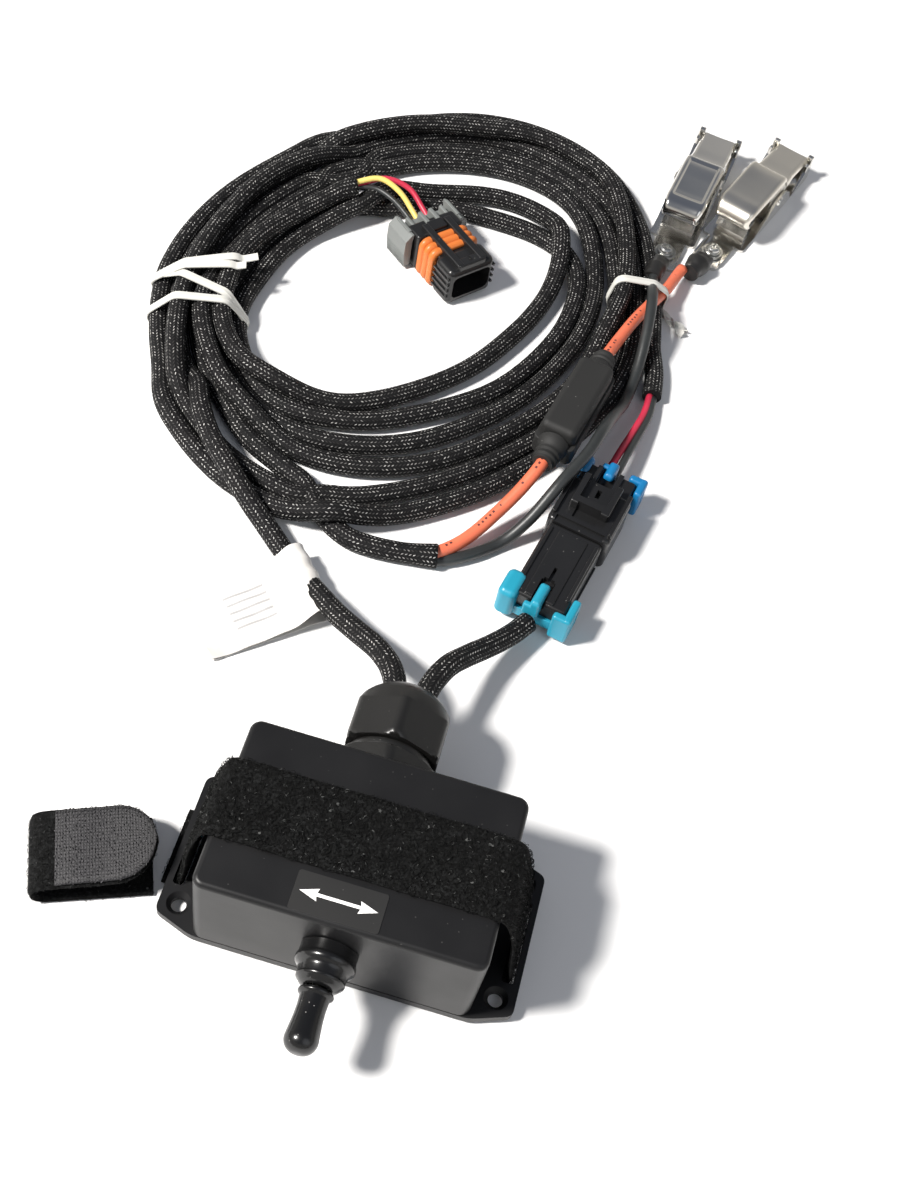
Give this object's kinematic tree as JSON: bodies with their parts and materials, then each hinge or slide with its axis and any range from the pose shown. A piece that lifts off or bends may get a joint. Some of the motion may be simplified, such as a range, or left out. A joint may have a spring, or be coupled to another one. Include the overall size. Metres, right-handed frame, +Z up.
{
  "type": "brake controller unit",
  "caption": "Hand-held brake control box with a booted two-way toggle, hook-and-loop strap, rear cable gland and a coiled sleeved harness with connectors, in-line fuse and battery clips.",
  "frame": {"origin": "on the floor under the centre of the box, on the underside of the strap that passes beneath the base plate", "axes": "+X to the right along the box, +Y towards the cable gland, +Z up out of the box top"},
  "size_m": [0.2359, 0.4628, 0.045],
  "materials": {
    "abs_black": "fine satin moulded ABS",
    "nylon_black": "satin moulded nylon",
    "rubber_black": "glossy moulded rubber",
    "label_black": "matt black film with a plain white double arrow",
    "zinc": "zinc plated",
    "chrome": "bright nickel plate",
    "brass": "silver plated brass",
    "pile_black": "napped loop pile",
    "hook_black": "woven hook tape",
    "braid_black": "braided polyester sleeve",
    "lock_teal": "moulded plastic",
    "lock_blue": "moulded plastic",
    "lock_grey": "moulded plastic",
    "seal_orange": "ribbed silicone",
    "tie_white": "flat paper and wire tie",
    "tag_paper": "coated paper",
    "wire_red": "smooth insulation",
    "wire_yellow": "smooth insulation",
    "wire_orange": "smooth insulation with plain print dots",
    "wire_slate": "smooth insulation"
  },
  "bodies": {
    "controller": {"base_plate": "abs_black", "enclosure_box": "abs_black", "base_screw_1": "zinc", "base_screw_2": "zinc", "base_screw_3": "zinc", "base_screw_4": "zinc", "arrow_label": "label_black", "gland_body": "nylon_black", "gland_locknut": "nylon_black", "gland_nut": "nylon_black", "gland_seal": "rubber_black", "toggle_bushing": "zinc", "switch_body": "nylon_black", "switch_terminal_1": "brass", "switch_terminal_2": "brass", "switch_terminal_3": "brass", "boot_base": "rubber_black", "inner_wire_feed": "wire_slate", "inner_wire_red": "wire_red", "inner_wire_yellow": "wire_yellow", "strap_band": "pile_black", "strap_tail": "pile_black", "strap_hook_pad": "hook_black", "cable_a_lead": "braid_black", "cable_b": "braid_black", "cable_c_lead": "braid_black", "cable_d_lead": "braid_black", "cable_a_tail": "braid_black", "actuator_wires": "wire_yellow", "wire_orange_lower": "wire_orange", "wire_orange_upper": "wire_orange", "wire_grey": "wire_slate", "connector_wires": "wire_red", "harness_coil": "braid_black", "coil_tie_left": "tie_white", "coil_tie_right": "tie_white", "paper_tag": "tag_paper", "connector_socket": "nylon_black", "connector_plug": "nylon_black", "socket_lock": "lock_teal", "plug_lock": "lock_blue", "fuse_body": "rubber_black", "blade_fuse": "wire_orange", "actuator_body": "nylon_black", "actuator_seal": "seal_orange", "actuator_lock": "lock_grey", "clip_negative_lower_jaw": "chrome", "clip_negative_spring": "zinc", "clip_negative_screw": "zinc", "clip_negative_boot": "rubber_black", "clip_positive_lower_jaw": "chrome", "clip_positive_spring": "zinc", "clip_positive_screw": "zinc", "clip_positive_boot": "rubber_black"},
    "lever": {"toggle_lever": "chrome", "toggle_boot": "rubber_black"},
    "rocker": {"rocker_contact": "brass"},
    "clip_negative_jaw": {"clip_negative_upper_jaw": "chrome"},
    "clip_positive_jaw": {"clip_positive_upper_jaw": "chrome"},
    "fuse_lid": {"fuse_cap": "rubber_black"}
  },
  "joints": [
    {"name": "lever_tilt", "type": "hinge", "parent": "controller", "child": "lever", "pos_m": [-0.001, -0.033, 0.026], "axis": [0, 0, 1], "range_deg": [-13, 13], "stiffness_Nm_per_rad": 0.1},
    {"name": "rocker_tilt", "type": "hinge", "parent": "controller", "child": "rocker", "pos_m": [-0.001, -0.014, 0.026], "axis": [0, 0, 1], "range_deg": [-6, 6]},
    {"name": "clip_negative_open", "type": "hinge", "parent": "controller", "child": "clip_negative_jaw", "pos_m": [0.0493, 0.36246, 0.008], "axis": [0.9893, -0.1461, 0], "range_deg": [0, 16], "stiffness_Nm_per_rad": 0.5, "springref_deg": -20.05, "deforming": ["clip_negative_spring"]},
    {"name": "clip_positive_open", "type": "hinge", "parent": "controller", "child": "clip_positive_jaw", "pos_m": [0.07661, 0.36916, 0.008], "axis": [0.9432, -0.3322, 0], "range_deg": [0, 16], "stiffness_Nm_per_rad": 0.5, "springref_deg": -20.05, "deforming": ["clip_positive_spring"]},
    {"name": "fuse_cap_lift", "type": "slide", "parent": "controller", "child": "fuse_lid", "axis": [0, 0, 1], "range_m": [0, 0.016]}
  ],
  "couplings": [
    {"joint": "rocker_tilt", "follows": "lever_tilt", "ratio": -0.45}
  ]
}
